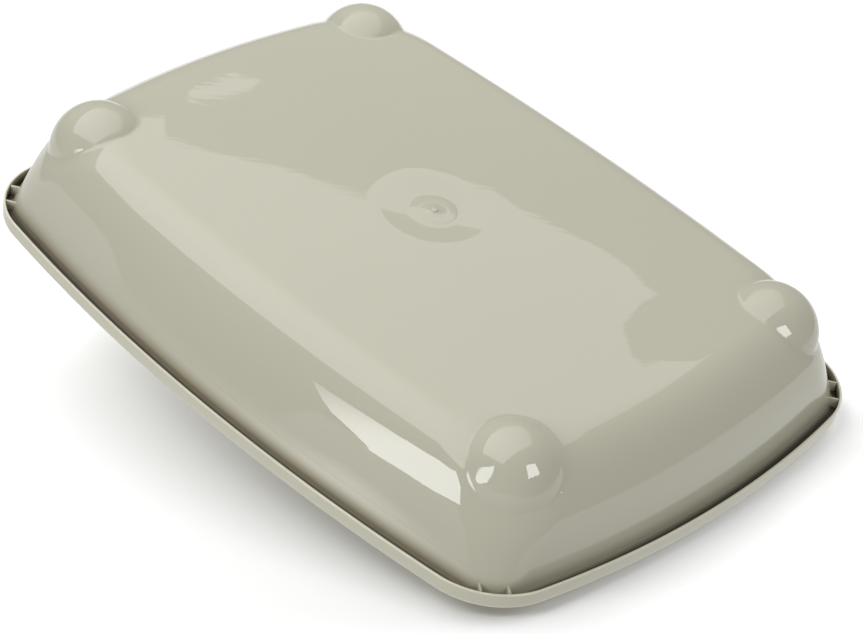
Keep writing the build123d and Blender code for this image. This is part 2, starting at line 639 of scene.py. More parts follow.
@dataclass(frozen=True)
class WallCurve:
    """Wall of the pan in section: a curve that opens as it rises, and then a straight run.

    Attributes:
        floor_radius: Radius where it leaves the floor.
        wall_radius: Radius where it meets the straight run.
        wall_angle: Tilt of the straight run, in radians.
        half_at_skirt: Half size of the pan at the height of the skirt's edge.
        floor: Height of the floor's outer face.
        skirt_edge: Height of the skirt's edge.
        samples: Number of points that the curve is read at.
    """

    floor_radius: float
    wall_radius: float
    wall_angle: float
    half_at_skirt: float
    floor: float
    skirt_edge: float
    samples: int = 600

    def run_and_rise(self, tilt: np.ndarray | float) -> tuple[np.ndarray, np.ndarray]:
        """How far out and up the curve is where it tilts by tilt.

        Args:
            tilt: Tilt of the wall, in radians.

        Returns:
            The run and the rise from the floor's edge.
        """
        growth = (self.wall_radius - self.floor_radius) / self.wall_angle
        run = self.floor_radius * np.sin(tilt)
        run = run + growth * (tilt * np.sin(tilt) + np.cos(tilt) - 1)
        rise = self.floor_radius * (1 - np.cos(tilt))
        rise = rise + growth * (np.sin(tilt) - tilt * np.cos(tilt))
        return run, rise

    def flat_half(self) -> float:
        """Half size of the flat floor.

        Returns:
            The half size.
        """
        run, rise = self.run_and_rise(self.wall_angle)
        wall_run = (self.skirt_edge - self.floor - rise) / math.tan(self.wall_angle)
        return self.half_at_skirt - wall_run - run

    def half_size(self, height: np.ndarray, inset: float) -> np.ndarray:
        """Half size at a height of the skin that lies inset inside the outer skin.

        Args:
            height: Heights above the ground.
            inset: Depth of the skin inside the outer one.

        Returns:
            The half sizes.
        """
        tilts = np.linspace(0, self.wall_angle, self.samples)
        run, rise = self.run_and_rise(tilts)
        climb = rise + inset * (np.cos(tilts) - 1)
        halves = self.flat_half() + run - inset * np.sin(tilts)
        above = np.maximum(np.asarray(height, float) - self.floor - inset, 0)
        curved = np.interp(np.sqrt(above), np.sqrt(np.maximum(climb, 0)), halves)
        straight = halves[-1] + (above - climb[-1]) / math.tan(self.wall_angle)
        return np.where(above > climb[-1], straight, curved)


@dataclass(frozen=True)
class TraySizes:
    """Driving sizes of the tray, in metres. Its length, width and height come from the frame.

    A curve of the wall is its radius at the floor, its radius at the straight run, and the run's tilt.
    The bows at the floor say how many times as much the outline bows there as at the skirt.
    """

    half_x: float
    half_y: float
    rim_top: float
    end_bow_radius: float = 700 * MM
    side_bow_radius: float = 1360 * MM
    rim_corner_radius: float = 52.5 * MM
    skirt_depth: float = 10.8 * MM
    skirt_thickness: float = 1.6 * MM
    flange_thickness: float = 2.0 * MM
    rim_outer_round: float = 3.0 * MM
    rim_inner_round: float = 1.2 * MM
    skirt_edge_round: float = 0.4 * MM
    lip_thickness: float = 1.8 * MM
    lip_depth: float = 5.0 * MM
    lip_gap: float = 0.5 * MM
    pan_wall: float = 2.2 * MM
    floor: float = 8.8 * MM
    end_channel: float = 10.2 * MM
    side_channel: float = 10.7 * MM
    end_curve: Point = (27 * MM, 62.5 * MM, math.radians(82))
    side_curve: Point = (16 * MM, 62 * MM, math.radians(70))
    corner_at_skirt: float = 31 * MM
    corner_at_floor: float = 69 * MM
    end_bow_at_floor: float = 1.15
    side_bow_at_floor: float = 0.57
    ledge_thickness: float = 2.0 * MM
    ledge_gap: float = 0.4 * MM
    foot_radius: float = 32 * MM
    foot_flat_radius: float = 3 * MM
    foot_x: float = 185 * MM
    foot_y: float = 114.5 * MM
    crease_round: float = 3.4 * MM
    dish_radius: float = 34 * MM
    dish_depth: float = 0.8 * MM
    disc_radius: float = 14.5 * MM
    disc_height: float = 0.4 * MM
    gate_radius: float = 2.3 * MM
    gate_height: float = 0.9 * MM

    @classmethod
    def from_frame(cls) -> "TraySizes":
        """Sizes with the overall ones read from the frame's rim."""
        low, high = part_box("rim")
        return cls(half_x=(high.x - low.x) / 2, half_y=(high.y - low.y) / 2, rim_top=high.z)

    @property
    def skirt_edge(self) -> float:
        """Height of the skirt's free edge."""
        return self.rim_top - self.skirt_depth

    @property
    def pan_top(self) -> float:
        """Height of the pan's lip, on which the rim lies."""
        return self.rim_top - self.flange_thickness

    @property
    def lip_bottom(self) -> float:
        """Height of the lower edge of the rim's inner lip."""
        return self.pan_top - self.lip_depth

    @property
    def foot_centre(self) -> float:
        """Height of the centre of a foot's ball."""
        return math.sqrt(self.foot_radius**2 - self.foot_flat_radius**2)

    def groove_height(self, share: float) -> float:
        """Height in the groove under the rim, at a share of its depth."""
        deepest = self.pan_top - self.ledge_thickness
        return self.skirt_edge + (deepest - self.skirt_edge) * share

    def end_wall(self) -> WallCurve:
        """Wall at the ends of the pan."""
        half = self.half_x - self.end_channel
        return WallCurve(*self.end_curve, half, self.floor, self.skirt_edge)

    def side_wall(self) -> WallCurve:
        """Wall at the sides of the pan."""
        half = self.half_y - self.side_channel
        return WallCurve(*self.side_curve, half, self.floor, self.skirt_edge)

    def rim_plan(self, inset: float) -> Barrel:
        """Outline of the rim, moved inwards.

        Args:
            inset: How far it is moved.

        Returns:
            The outline.
        """
        return Barrel(
            self.half_x - inset,
            self.half_y - inset,
            self.end_bow_radius - inset,
            self.side_bow_radius - inset,
            self.rim_corner_radius - inset,
        )

    def pan_plan(self, height: np.ndarray | float, inset: float, gap: float = 0.0) -> Barrel:
        """Outline of the pan at a height.

        Args:
            height: Height or heights above the ground.
            inset: Depth of the skin inside the outer one.
            gap: How far the outline is moved in from that skin.

        Returns:
            The outline.
        """
        share = (self.skirt_edge - height) / (self.skirt_edge - self.floor)
        end_bow = self.end_bow_radius / (1 + (self.end_bow_at_floor - 1) * share)
        side_bow = self.side_bow_radius / (1 + (self.side_bow_at_floor - 1) * share)
        corner = self.corner_at_skirt + (self.corner_at_floor - self.corner_at_skirt) * share
        moved = inset + gap
        return Barrel(
            self.end_wall().half_size(height, inset) - gap,
            self.side_wall().half_size(height, inset) - gap,
            end_bow - moved,
            side_bow - moved,
            corner - moved,
        )


# Meshes


class MeshDraft:
    """Vertices and faces of one piece, while it is built."""

    def __init__(self) -> None:
        """Start with nothing."""
        self.points: list[np.ndarray] = []
        self.groove_shades: list[np.ndarray] = []
        self.faces: list[tuple[int, ...]] = []
        self.count = 0

    def add(self, points: np.ndarray, groove: float | np.ndarray = 0.0) -> np.ndarray:
        """Add points.

        Args:
            points: The points, one a row.
            groove: Share of painted groove shade that they take, one for all or one for each.

        Returns:
            Their numbers.
        """
        points = np.atleast_2d(points)
        self.points.append(points)
        self.groove_shades.append(np.zeros(len(points)) + groove)
        self.count += len(points)
        return np.arange(self.count - len(points), self.count)

    def band(self, inner: np.ndarray, outer: np.ndarray, skipped: np.ndarray | None = None) -> None:
        """Join two closed rings with faces.

        Args:
            inner: Numbers of the first ring's points.
            outer: Numbers of the second ring's points.
            skipped: True for the columns that get no face.
        """
        after_inner, after_outer = np.roll(inner, -1), np.roll(outer, -1)
        for column, face in enumerate(zip(inner, outer, after_outer, after_inner)):
            if skipped is None or not skipped[column]:
                self.faces.append(tuple(int(i) for i in face))

    def cap(self, pole: int, ring: np.ndarray, turned: bool = False) -> None:
        """Close a ring with a fan of triangles.

        Args:
            pole: Number of the point in the middle.
            ring: Numbers of the ring's points.
            turned: Whether the fan faces the other way.
        """
        for first, second in zip(ring, np.roll(ring, -1)):
            pair = (int(second), int(first)) if turned else (int(first), int(second))
            self.faces.append((int(pole), *pair))

    def build(self, name: str, material: bpy.types.Material) -> bpy.types.Object:
        """Make the object, smooth and with no loose points.

        Args:
            name: Name of the piece.
            material: Its material.

        Returns:
            The new object, at the origin.
        """
        points = np.vstack(self.points)
        used = np.unique(np.concatenate([np.array(face) for face in self.faces]))
        number = np.full(len(points), -1)
        number[used] = np.arange(len(used))
        faces = [tuple(int(number[i]) for i in face) for face in self.faces]
        mesh = bpy.data.meshes.new(name)
        mesh.from_pydata(points[used].tolist(), [], faces)
        mesh.polygons.foreach_set("use_smooth", np.ones(len(faces), bool))
        # Share of painted groove shade at each point, which the material reads.
        layer = mesh.attributes.new("groove", "FLOAT", "POINT")
        layer.data.foreach_set("value", np.concatenate(self.groove_shades)[used].astype(np.float32))
        mesh.materials.append(material)
        mesh.validate()
        return link_mesh(name, mesh)


def smooth_max(first: np.ndarray, second: np.ndarray, width: np.ndarray) -> np.ndarray:
    """Larger of two values, rounded where they are within width of each other."""
    share = np.clip(0.5 + 0.5 * (first - second) / width, 0, 1)
    return first * share + second * (1 - share) + width * share * (1 - share)


@dataclass
class FootPatch:
    """Foot on one skin of the pan: a polar net of faces that fills a gap in the skin's net.

    Attributes:
        sizes: Sizes of the tray.
        sign_x: Which end the foot is at.
        sign_y: Which side the foot is at.
        inset: Depth of the skin inside the outer one.
        ball_rings: Number of rings on the ball, and skin_rings on the skin round it.
        crease_steps: Where the rings of the crease lie, in half widths of the crease.
        skin_crowding: How much the rings on the skin crowd towards the crease.
        least_slope: Least slope between ball and skin, for the width of the crease.
        slope_step: Angle over which that slope is measured.
        pole_tilt: Tilt of the net's pole from straight down.
        scan_steps: Number of places at which the crease is looked for.
        halvings: Number of halvings by which a place is found.
        farthest: Distance from the ball's centre beyond which no skin lies.
    """

    sizes: TraySizes
    sign_x: int
    sign_y: int
    inset: float
    ball_rings: int = 12
    skin_rings: int = 7
    crease_steps: tuple[float, ...] = (-1.7, -1.1, -0.75, -0.4, 0.0, 0.4, 0.75, 1.1, 1.7)
    least_slope: float = 0.2
    slope_step: float = 0.01
    pole_tilt: float = math.radians(36)
    scan_steps: int = 240
    halvings: int = 34
    farthest: float = 0.12
    skin_crowding: float = 1.25

    def centre(self) -> np.ndarray:
        """Centre of the foot's ball."""
        size = self.sizes
        return np.array([self.sign_x * size.foot_x, self.sign_y * size.foot_y, size.foot_centre])

    def pole(self) -> np.ndarray:
        """Direction of the net's pole, down and out towards the corner.

        Returns:
            The unit direction.
        """
        out = np.array([self.sign_x * self.sizes.foot_y, self.sign_y * self.sizes.foot_x])
        out = out / np.linalg.norm(out)
        tilt = self.pole_tilt
        return np.array([out[0] * math.sin(tilt), out[1] * math.sin(tilt), -math.cos(tilt)])

    def ball_reach(self, directions: np.ndarray) -> np.ndarray:
        """Distance from the centre to the foot's own skin, a ball whose tip rests on z = 0.

        Args:
            directions: Unit directions, in the last axis.

        Returns:
            The distances.
        """
        radius = self.sizes.foot_radius - self.inset
        depth = self.sizes.foot_centre - self.inset
        low = np.minimum(directions[..., 2], 0) ** 2
        return 1 / np.sqrt((1 - low) / radius**2 + low / depth**2)

    def reach(self, directions: np.ndarray) -> np.ndarray:
        """Distance from the ball's centre to the skin of the pan.

        Args:
            directions: Unit directions, in the last axis.

        Returns:
            The distances.
        """
        near = np.zeros(directions.shape[:-1])
        far = np.full(directions.shape[:-1], self.farthest)
        centre = self.centre()
        for _ in range(self.halvings):
            middle = (near + far) / 2
            place = centre + directions * middle[..., None]
            height = place[..., 2]
            inside = self.sizes.pan_plan(height, self.inset).holds(place[..., 0], place[..., 1])
            inside &= height > self.sizes.floor + self.inset
            near = np.where(inside, middle, near)
            far = np.where(inside, far, middle)
        return (near + far) / 2

    def fill(self, draft: MeshDraft, loop: np.ndarray) -> None:
        """Fill the gap inside a loop of the skin's points.

        Args:
            draft: The piece that is being built.
            loop: Numbers of the loop's points, in order.
        """
        points = np.vstack(draft.points)[loop]
        centre, pole = self.centre(), self.pole()
        radius = self.sizes.foot_radius - self.inset
        spokes = points - centre
        spokes = spokes / np.linalg.norm(spokes, axis=1)[:, None]
        across = spokes - (spokes @ pole)[:, None] * pole
        across = across / np.linalg.norm(across, axis=1)[:, None]
        full = np.arccos(np.clip(spokes @ pole, -1, 1))

        def directions(angle: np.ndarray) -> np.ndarray:
            """Directions at an angle from the pole, one for each spoke."""
            return np.cos(angle)[..., None] * pole + np.sin(angle)[..., None] * across

        scan = np.linspace(0, 1, self.scan_steps)[:, None] * full
        way = directions(scan)
        ball = self.reach(way) < self.ball_reach(way)
        last = self.scan_steps - 1 - np.argmax(ball[::-1], axis=0)
        low, high = last / (self.scan_steps - 1) * full, (last + 1) / (self.scan_steps - 1) * full
        for _ in range(self.halvings):
            middle = (low + high) / 2
            way = directions(middle)
            in_ball = self.reach(way) < self.ball_reach(way)
            low, high = np.where(in_ball, middle, low), np.where(in_ball, high, middle)
        edge = (low + high) / 2
        rise = self.reach(directions(edge + self.slope_step)) - self.reach(directions(edge))
        slope = np.maximum(rise / (self.slope_step * radius), self.least_slope)
        tangent = self.sizes.crease_round * np.tan(np.arctan(slope) / 2)
        width = tangent * slope
        ring_step = tangent / radius
        first = edge + self.crease_steps[0] * ring_step
        final = edge + self.crease_steps[-1] * ring_step
        shares = np.linspace(0, 1, self.ball_rings + 1)[1:]
        angles = [first * share for share in shares]
        angles += [edge + step * ring_step for step in self.crease_steps[1:]]
        growing = np.linspace(0, 1, self.skin_rings + 1)[1:-1] ** self.skin_crowding
        angles += [final + (full - final) * share for share in growing]
        rings = []
        for angle in angles:
            way = directions(angle)
            distance = smooth_max(self.reach(way), self.ball_reach(way), width)
            rings.append(draft.add(centre + way * distance[:, None]))
        middle_point = draft.add(centre + pole * self.ball_reach(pole))[0]
        draft.cap(middle_point, rings[0], turned=True)
        for inner, outer in zip(rings, rings[1:] + [loop]):
            draft.band(outer, inner)


@dataclass
class PanShell:
    """The pan: outer skin, ledge round the top, inner skin and hollow feet, in one closed mesh.

    Attributes:
        sizes: Sizes of the tray.
        shares: Where the columns of its net lie.
        floor_rows: Number of rings on the floor, and wall_rows on the wall.
        foot_margin: Width of net round a foot that the foot's own net replaces.
        edge_round: Round of the ledge's edges.
        end_shade: How much painted groove shade the wall takes at the ends, where 1 is its full tint.
        ledge_shares: Where the rings under the ledge lie, from the wall to the ledge's edge.
        ledge_shades: How far the painted shade of each of them goes from the wall's to the deepest.
        deepest_shade: How much painted groove shade the ledge behind the skirt takes.
        gate_step: Size of the rounds at the gate and the disc.
        dish_shares: Where the rings of the dish lie, as shares of its radius.
        wall_crowding: How much the rings of a wall crowd towards the floor.
    """

    sizes: TraySizes
    shares: QuarterShares = field(default_factory=lambda: QuarterShares.of(26, 42, 17))
    floor_rows: int = 15
    wall_rows: int = 44
    foot_margin: float = 4.2 * MM
    edge_round: float = 0.3 * MM
    end_shade: float = 0.45
    ledge_shares: tuple[float, ...] = (0.03, 0.16, 0.3, 0.5)
    ledge_shades: tuple[float, ...] = (0.0, 0.35, 0.8, 1.0)
    deepest_shade: float = 1.15
    gate_step: float = 0.15 * MM
    dish_shares: tuple[float, ...] = (0.55, 0.68, 0.8, 0.9, 0.97, 0.99)
    wall_crowding: float = 1.8

    def ring(self, plan: Barrel, height: float) -> np.ndarray:
        """Closed ring of points on an outline, at a height."""
        flat = ring_of(plan.quarter(self.shares))
        return np.column_stack([flat, np.full(len(flat), height)])

    def wall_rings(self, inset: float, top: float) -> list[np.ndarray]:
        """Rings from the floor's edge to the top of a skin.

        Args:
            inset: Depth of the skin inside the outer one.
            top: Height of the last ring.

        Returns:
            The rings.
        """
        bottom = self.sizes.floor + inset
        rings = []
        for share in np.linspace(0, 1, self.wall_rows):
            height = bottom + (top - bottom) * share**self.wall_crowding
            rings.append(self.ring(self.sizes.pan_plan(height, inset), height))
        return rings

    def floor_rings(self, edge: np.ndarray, inner_radius: float) -> list[np.ndarray]:
        """Rings of the flat floor between a circle and its edge.

        Args:
            edge: The ring at the floor's edge.
            inner_radius: Radius of the circle.

        Returns:
            The rings, from the circle outwards, without the edge itself.
        """
        angle = np.arctan2(edge[:, 1], edge[:, 0])
        circle = np.column_stack([np.cos(angle), np.sin(angle)]) * inner_radius
        rings = []
        for share in np.linspace(0, 1, self.floor_rows, endpoint=False):
            flat = circle * (1 - share) + edge[:, :2] * share
            rings.append(np.column_stack([flat, edge[:, 2]]))
        return rings

    def gate_rings(self, edge: np.ndarray) -> list[np.ndarray]:
        """Rings of the gate vestige, the disc and the dish, from the middle out.

        Args:
            edge: The ring at the floor's edge, which sets the columns.

        Returns:
            The rings, up to the one inside the dish's edge.
        """
        size = self.sizes
        angle = np.arctan2(edge[:, 1], edge[:, 0])
        disc_level = size.floor + size.dish_depth - size.disc_height
        gate_level = disc_level - size.gate_height
        step = self.gate_step

        def dish(radius: float) -> float:
            """Height of the dish at a radius."""
            return size.floor + size.dish_depth * (1 - (radius / size.dish_radius) ** 2)

        profile = [
            (size.gate_radius * 0.5, gate_level),
            (size.gate_radius - 3 * step, gate_level),
            (size.gate_radius - step, gate_level + step),
            (size.gate_radius, gate_level + 3 * step),
            (size.gate_radius + step, disc_level - step),
            (size.gate_radius + 2 * step, disc_level),
            (size.disc_radius * 0.6, disc_level),
            (size.disc_radius - 3 * step, disc_level),
            (size.disc_radius - step, disc_level + step * 0.5),
            (size.disc_radius + step, dish(size.disc_radius + step) - step * 0.2),
            (size.disc_radius + 3 * step, dish(size.disc_radius + 3 * step)),
        ]
        for share in self.dish_shares:
            profile.append((size.dish_radius * share, dish(size.dish_radius * share)))
        return [
            np.column_stack([radius * np.cos(angle), radius * np.sin(angle), np.full(len(angle), height)])
            for radius, height in profile
        ]

    def near_foot(self, rings: list[np.ndarray], inset: float) -> tuple[int, int, int, int]:
        """First quadrant's block of the net that the foot and its crease lie in.

        Args:
            rings: Rings of the skin.
            inset: Depth of the skin inside the outer one.

        Returns:
            First and last row, and first and last column.
        """
        patch = FootPatch(self.sizes, 1, 1, inset)
        quarter = len(rings[0]) // 4
        net = np.array([ring[: quarter + 1] for ring in rings])
        apart = np.linalg.norm(net - patch.centre(), axis=2)
        close = apart < self.sizes.foot_radius - inset + self.foot_margin
        rows, columns = np.where(close.any(1))[0], np.where(close.any(0))[0]
        return rows[0] - 1, rows[-1] + 1, columns[0] - 1, columns[-1] + 1

    def skin(
        self, draft: MeshDraft, rings: list[np.ndarray], inset: float, outwards: bool
    ) -> list[np.ndarray]:
        """Add a skin with its four feet.

        Args:
            draft: The piece that is being built.
            rings: Rings of the skin, from the middle of the floor to the top.
            inset: Depth of the skin inside the outer one.
            outwards: Whether the skin is the outer one.

        Returns:
            Numbers of each ring's points.
        """
        # The outer skin takes painted groove shade, less at the ends.
        numbers = [draft.add(ring, self.wall_shade() if outwards else 0.0) for ring in rings]
        columns = len(rings[0])
        quarter = columns // 4
        row_a, row_b, col_a, col_b = self.near_foot(rings, inset)
        spans = [
            (col_a, col_b, 1, 1),
            (2 * quarter - col_b, 2 * quarter - col_a, 1, -1),
            (2 * quarter + col_a, 2 * quarter + col_b, -1, -1),
            (4 * quarter - col_b, 4 * quarter - col_a, -1, 1),
        ]
        skipped = np.zeros(columns, bool)
        for start, stop, _, _ in spans:
            skipped[start:stop] = True
        for row, (inner, outer) in enumerate(zip(numbers, numbers[1:])):
            gap = skipped if row_a <= row < row_b else None
            draft.band(*((inner, outer) if outwards else (outer, inner)), gap)
        for start, stop, sign_x, sign_y in spans:
            loop = [numbers[row_a][c] for c in range(start, stop)]
            loop += [numbers[r][stop] for r in range(row_a, row_b)]
            loop += [numbers[row_b][c] for c in range(stop, start, -1)]
            loop += [numbers[r][start] for r in range(row_b, row_a, -1)]
            if not outwards:
                loop = loop[::-1]
            FootPatch(self.sizes, sign_x, sign_y, inset).fill(draft, np.array(loop))
        return numbers

    def wall_shade(self) -> np.ndarray:
        """How much painted groove shade the wall takes at each column: less at the ends.

        Returns:
            One share for each column.
        """
        side, end = np.zeros(len(self.shares.side)), np.ones(len(self.shares.end))
        turn = np.concatenate([side, self.shares.corner, end])
        ring = np.abs(ring_of(np.column_stack([turn, turn]))[:, 0])
        return 1 - (1 - self.end_shade) * ring

    def ledge_rings(self) -> list[np.ndarray]:
        """Rings round the ledge, from the outer skin's top to the inner skin's.

        Returns:
            The rings.
        """
        size = self.sizes
        inset = size.skirt_thickness + size.ledge_gap
        low, high = size.pan_top - size.ledge_thickness, size.pan_top
        turn = self.edge_round
        rings = []
        for share in self.ledge_shares:
            under = self.ring(size.pan_plan(low, 0), low) * (1 - share)
            rings.append(under + self.ring(size.rim_plan(inset), low) * share)
        for extra, height in (
            (3 * turn, low), (turn, low), (0, low + turn), (0, high - turn), (turn, high), (3 * turn, high),
        ):
            rings.append(self.ring(size.rim_plan(inset + extra), height))
        for extra in (3 * turn, turn):
            rings.append(self.ring(size.pan_plan(high, size.pan_wall, -extra), high))
        rings.append(self.ring(size.pan_plan(high - turn, size.pan_wall), high - turn))
        return rings

    def build(self, material: bpy.types.Material) -> bpy.types.Object:
        """Make the pan.

        Args:
            material: Its material.

        Returns:
            The piece.
        """
        size = self.sizes
        draft = MeshDraft()
        walls = self.wall_rings(0, size.pan_top - size.ledge_thickness)
        rings = self.gate_rings(walls[0]) + self.floor_rings(walls[0], size.dish_radius) + walls
        outer = self.skin(draft, rings, 0, True)
        low_point = np.array([0, 0, size.floor + size.dish_depth - size.disc_height - size.gate_height])
        draft.cap(draft.add(low_point)[0], outer[0], turned=False)
        last = outer[-1]
        wall = self.wall_shade()
        # Painted shade under the ledge, growing from the wall's share to the deepest behind the skirt.
        for number, ring in enumerate(self.ledge_rings()):
            underneath = ring[0, 2] < size.pan_top - size.ledge_thickness / 2
            deeper = self.ledge_shades[min(number, len(self.ledge_shades) - 1)]
            shade_share = wall + (self.deepest_shade - wall) * deeper
            numbers = draft.add(ring, shade_share if underneath else 0.0)
            draft.band(last, numbers)
            last = numbers
        inner_walls = self.wall_rings(size.pan_wall, size.pan_top - 3 * self.edge_round)
        inner_rings = self.floor_rings(inner_walls[0], size.dish_radius * 0.5) + inner_walls
        inner = self.skin(draft, inner_rings, size.pan_wall, False)
        draft.band(last, inner[-1])
        middle = draft.add(np.array([0, 0, size.floor + size.pan_wall]))[0]
        draft.cap(middle, inner[0], turned=True)
        return draft.build("tray_pan", material)


# Geometry Nodes


class GeometryTree(Painter):
    """Node tree of a Geometry Nodes modifier, with named inputs."""

    def __init__(self, name: str, inputs: dict[str, str]) -> None:
        """Make the tree and its sockets.

        Args:
            name: Name of the tree.
            inputs: Type of each named input.
        """
        super().__init__(bpy.data.node_groups.new(name, "GeometryNodeTree"))
        face = self.tree.interface
        face.new_socket("Geometry", in_out="INPUT", socket_type="NodeSocketGeometry")
        for label, kind in inputs.items():
            face.new_socket(label, in_out="INPUT", socket_type=kind)
        face.new_socket("Geometry", in_out="OUTPUT", socket_type="NodeSocketGeometry")
        self.entry = self.node("NodeGroupInput")

    def named(self, name: str, kind: str = "FLOAT") -> bpy.types.NodeSocket:
        """Value of a named attribute."""
        node = self.node("GeometryNodeInputNamedAttribute", {"data_type": kind}, {"Name": name})
        return node.outputs[0]

    def finish(self, geometry: bpy.types.NodeSocket) -> None:
        """Realize, smooth and dress the result, and send it out.

        Args:
            geometry: The result.
        """
        real = self.node("GeometryNodeRealizeInstances", inputs={"Geometry": geometry})
        smooth = self.node("GeometryNodeSetShadeSmooth", inputs={"Geometry": real.outputs[0]})
        dressed = self.node(
            "GeometryNodeSetMaterial",
            inputs={"Geometry": smooth.outputs[0], "Material": self.entry.outputs["Material"]},
        )
        self.node("NodeGroupOutput", inputs={"Geometry": dressed.outputs[0]})

    def apply(self, name: str, points: bpy.types.Mesh, values: dict[str, object]) -> bpy.types.Object:
        """Run the tree on a mesh and keep the result as a plain mesh.

        Args:
            name: Name of the piece.
            points: The mesh that the tree starts from.
            values: Values of the named inputs.

        Returns:
            The piece.
        """
        piece = link_mesh(name, points)
        modifier = piece.modifiers.new(name, "NODES")
        modifier.node_group = self.tree
        for item in self.tree.interface.items_tree:
            if item.item_type == "SOCKET" and item.in_out == "INPUT" and item.name in values:
                modifier[item.identifier] = values[item.name]
        graph = bpy.context.evaluated_depsgraph_get()
        made = bpy.data.meshes.new_from_object(piece.evaluated_get(graph), depsgraph=graph)
        piece.modifiers.remove(modifier)
        piece.data = made
        made.name = name
        return piece


def points_mesh(
    name: str, points: np.ndarray, edges: list[tuple[int, int]], attributes: dict[str, np.ndarray]
) -> bpy.types.Mesh:
    """Mesh of points and edges that carries attributes.

    Args:
        name: Name of the mesh.
        points: Its points, one a row.
        edges: Its edges.
        attributes: Numbers or vectors of each point, by name.

    Returns:
        The mesh.
    """
    mesh = bpy.data.meshes.new(name)
    mesh.from_pydata(points.tolist(), edges, [])
    for label, values in attributes.items():
        vector = values.ndim == 2
        layer = mesh.attributes.new(label, "FLOAT_VECTOR" if vector else "FLOAT", "POINT")
        layer.data.foreach_set("vector" if vector else "value", values.astype(np.float32).ravel())
    return mesh


def round_loop(count: int) -> list[tuple[int, int]]:
    """Edges of a closed loop of points."""
    return [(i, (i + 1) % count) for i in range(count)]


@dataclass
class RimFrame:
    """The rim: one section carried round between two rails, the outline and the mouth.

    Attributes:
        sizes: Sizes of the tray.
        shares: Where the columns of its net lie.
        round_steps: Number of points on each rounded edge of the section.
        support: Distance from a rounded edge to the next point of the section.
    """

    sizes: TraySizes
    shares: QuarterShares = field(default_factory=lambda: QuarterShares.of(30, 40, 20))
    round_steps: int = 6
    support: float = 0.3 * MM

    def bend(
        self, centre: tuple[float, float], radius: float, start: float, turn: float
    ) -> list[tuple[float, float]]:
        """Points of a rounded edge of the section.

        Args:
            centre: Inset and drop of the arc's centre.
            radius: Radius of the arc.
            start: Angle of its first point, in degrees.
            turn: How far it turns, in degrees.

        Returns:
            Inset and drop of each point.
        """
        angles = np.radians(np.linspace(start, start + turn, self.round_steps))
        return [(centre[0] + radius * math.cos(a), centre[1] + radius * math.sin(a)) for a in angles]

    def section(self) -> list[Point]:
        """Section of the rim.

        Returns:
            Its points, as inset, drop below the top, and rail: 0 outline, 1 mouth.
        """
        size = self.sizes
        outer, inner, edge = size.rim_outer_round, size.rim_inner_round, size.skirt_edge_round
        deep, thick = size.skirt_depth, size.skirt_thickness
        lip_low, lip, under = size.rim_top - size.lip_bottom, size.lip_thickness, size.flange_thickness
        near = self.support
        skirt = [(outer + near, 0.0)] + self.bend((outer, outer), outer, -90, -90)
        skirt += [(0.0, outer + near), (0.0, deep - edge - near)]
        skirt += self.bend((edge, deep - edge), edge, 180, -90)
        skirt += self.bend((thick - edge, deep - edge), edge, 90, -90)
        skirt += [(thick, deep - edge - near), (thick, deep * 0.7), (thick, deep * 0.45)]
        skirt += [(thick, under + near), (thick, under), (thick + near, under)]
        mouth = [(-near, under), (0.0, under), (0.0, under + near), (0.0, lip_low - 2 * edge)]
        mouth += self.bend((edge, lip_low - edge), edge, 180, -90)
        mouth += self.bend((lip - edge, lip_low - edge), edge, 90, -90)
        mouth += [(lip, lip_low - 2 * edge), (lip, inner + near)]
        mouth += self.bend((lip - inner, inner), inner, 0, -90)
        mouth += [(lip - inner - near, 0.0)]
        return [(*point, 0.0) for point in skirt] + [(*point, 1.0) for point in mouth]

    def rail(self, plan: Barrel) -> tuple[np.ndarray, np.ndarray]:
        """Points of an outline and the inward directions at them.

        Args:
            plan: The outline.

        Returns:
            The points and the directions, with z = 0.
        """
        ring = ring_of(plan.quarter(self.shares))
        tiny = 0.01 * MM
        inside = Barrel(
            plan.half_x - tiny,
            plan.half_y - tiny,
            plan.end_radius - tiny,
            plan.side_radius - tiny,
            plan.corner_radius - tiny,
        )
        inwards = (ring_of(inside.quarter(self.shares)) - ring) / tiny
        flat = np.zeros((len(ring), 1))
        return np.hstack([ring, flat]), np.hstack([inwards, flat])

    def tree(self) -> GeometryTree:
        """Tree that carries the section round both rails.

        Returns:
            The tree.
        """
        kinds = {
            "Section": "NodeSocketObject",
            "Rim top": "NodeSocketFloat",
            "Material": "NodeSocketMaterial",
        }
        made = GeometryTree("rim_sweep", kinds)
        rail = made.node("GeometryNodeMeshToCurve", inputs={"Mesh": made.entry.outputs["Geometry"]})
        info = made.node("GeometryNodeObjectInfo", inputs={"Object": made.entry.outputs["Section"]})
        section = made.node("GeometryNodeMeshToCurve", inputs={"Mesh": info.outputs["Geometry"]})
        tube = made.node(
            "GeometryNodeCurveToMesh",
            inputs={"Curve": rail.outputs[0], "Profile Curve": section.outputs[0]},
        )
        places = []
        for side in ("outline", "mouth"):
            shift = made.node(
                "ShaderNodeVectorMath",
                {"operation": "SCALE"},
                {0: made.named(f"{side}_inwards", "FLOAT_VECTOR"), "Scale": made.named("inset")},
            )
            place = made.node(
                "ShaderNodeVectorMath",
                {"operation": "ADD"},
                {0: made.named(side, "FLOAT_VECTOR"), 1: shift.outputs[0]},
            )
            places.append(place.outputs[0])
        level = made.node(
            "ShaderNodeMix",
            {"data_type": "VECTOR"},
            {0: made.named("rail"), 4: places[0], 5: places[1]},
        )
        top = Wire(made.tree, made.entry.outputs["Rim top"])
        height = top - Wire(made.tree, made.named("drop"))
        up = made.node("ShaderNodeCombineXYZ", inputs={"Z": height})
        final = made.node(
            "ShaderNodeVectorMath", {"operation": "ADD"}, {0: level.outputs[1], 1: up.outputs[0]}
        )
        moved = made.node(
            "GeometryNodeSetPosition", inputs={"Geometry": tube.outputs[0], "Position": final.outputs[0]}
        )
        made.finish(moved.outputs[0])
        return made

